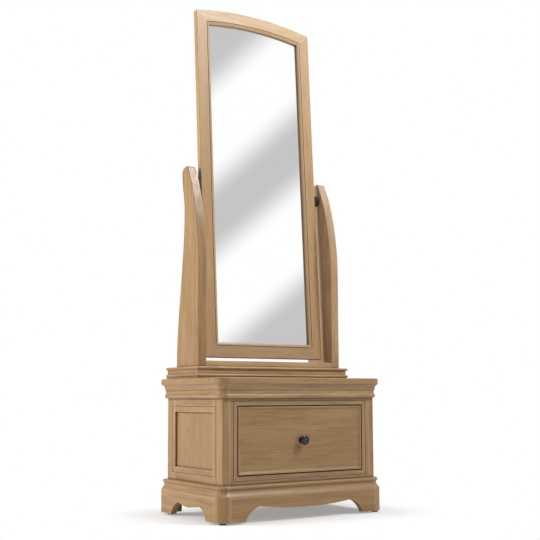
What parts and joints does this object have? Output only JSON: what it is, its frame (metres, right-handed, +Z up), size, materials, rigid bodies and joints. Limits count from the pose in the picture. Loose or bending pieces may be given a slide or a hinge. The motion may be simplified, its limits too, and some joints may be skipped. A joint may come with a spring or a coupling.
{
  "type": "cheval mirror",
  "caption": "Tilting full-length mirror in an arched oak frame, hung between shaped posts on a panelled chest with a drawer, a cornice and a plinth with shaped aprons.",
  "frame": {"origin": "middle of the footprint, on the floor under the glides", "axes": "+X to the right seen from the front, +Y to the back, +Z up"},
  "size_m": [0.65, 0.394, 1.7764],
  "materials": {
    "oak": "satin lacquer",
    "board": "matt",
    "silvered_glass": "polished",
    "dark_metal": "dark patinated",
    "steel": "plated",
    "brass": "turned",
    "black_plastic": "matt"
  },
  "bodies": {
    "chest": {"back_panel": "board", "back_rail": "oak", "bottom_board": "oak", "cornice_corners": "oak", "cornice_front": "oak", "cornice_left": "oak", "cornice_right": "oak", "cross_rail": "oak", "drawer_kickers": "oak", "drawer_runners": "oak", "drawer_stops": "oak", "foot_glides": "black_plastic", "front_bottom_rail": "oak", "front_stile_left": "oak", "front_stile_right": "oak", "front_top_rail": "oak", "pivot_bushes": "brass", "plinth_back_rail": "oak", "plinth_corner_left": "oak", "plinth_corner_right": "oak", "plinth_front_board": "oak", "plinth_glue_blocks": "oak", "plinth_moulding_front": "oak", "plinth_moulding_left": "oak", "plinth_moulding_right": "oak", "plinth_side_board_left": "oak", "plinth_side_board_right": "oak", "post_bolts": "steel", "post_left": "oak", "post_right": "oak", "side_bottom_rails": "oak", "side_front_stile_left": "oak", "side_front_stile_right": "oak", "side_panel_left": "oak", "side_panel_right": "oak", "side_rear_stiles": "oak", "side_top_rails": "oak", "stage_back_rail": "oak", "stage_deck": "oak", "stage_front": "oak", "stage_left": "oak", "stage_right": "oak", "top_board": "oak"},
    "mirror": {"mirror_stile_left": "oak", "mirror_stile_right": "oak", "mirror_top_rail": "oak", "mirror_bottom_rail": "oak", "mirror_glass": "silvered_glass", "backing_board": "board", "backing_clips": "steel", "pivot_blocks": "dark_metal", "pivot_block_screws": "steel", "pivot_pins": "steel", "friction_washers": "black_plastic"},
    "drawer": {"drawer_front": "oak", "drawer_sides": "oak", "drawer_back": "oak", "drawer_bottom": "board", "knob": "dark_metal", "knob_screw": "steel"}
  },
  "joints": [
    {"name": "mirror_tilt", "type": "hinge", "parent": "chest", "child": "mirror", "pos_m": [0, 0.083, 1.113], "axis": [1, 0, 0], "range_deg": [-25, 20]},
    {"name": "drawer_slide", "type": "slide", "parent": "chest", "child": "drawer", "axis": [0, -1, 0], "range_m": [0, 0.26]}
  ]
}
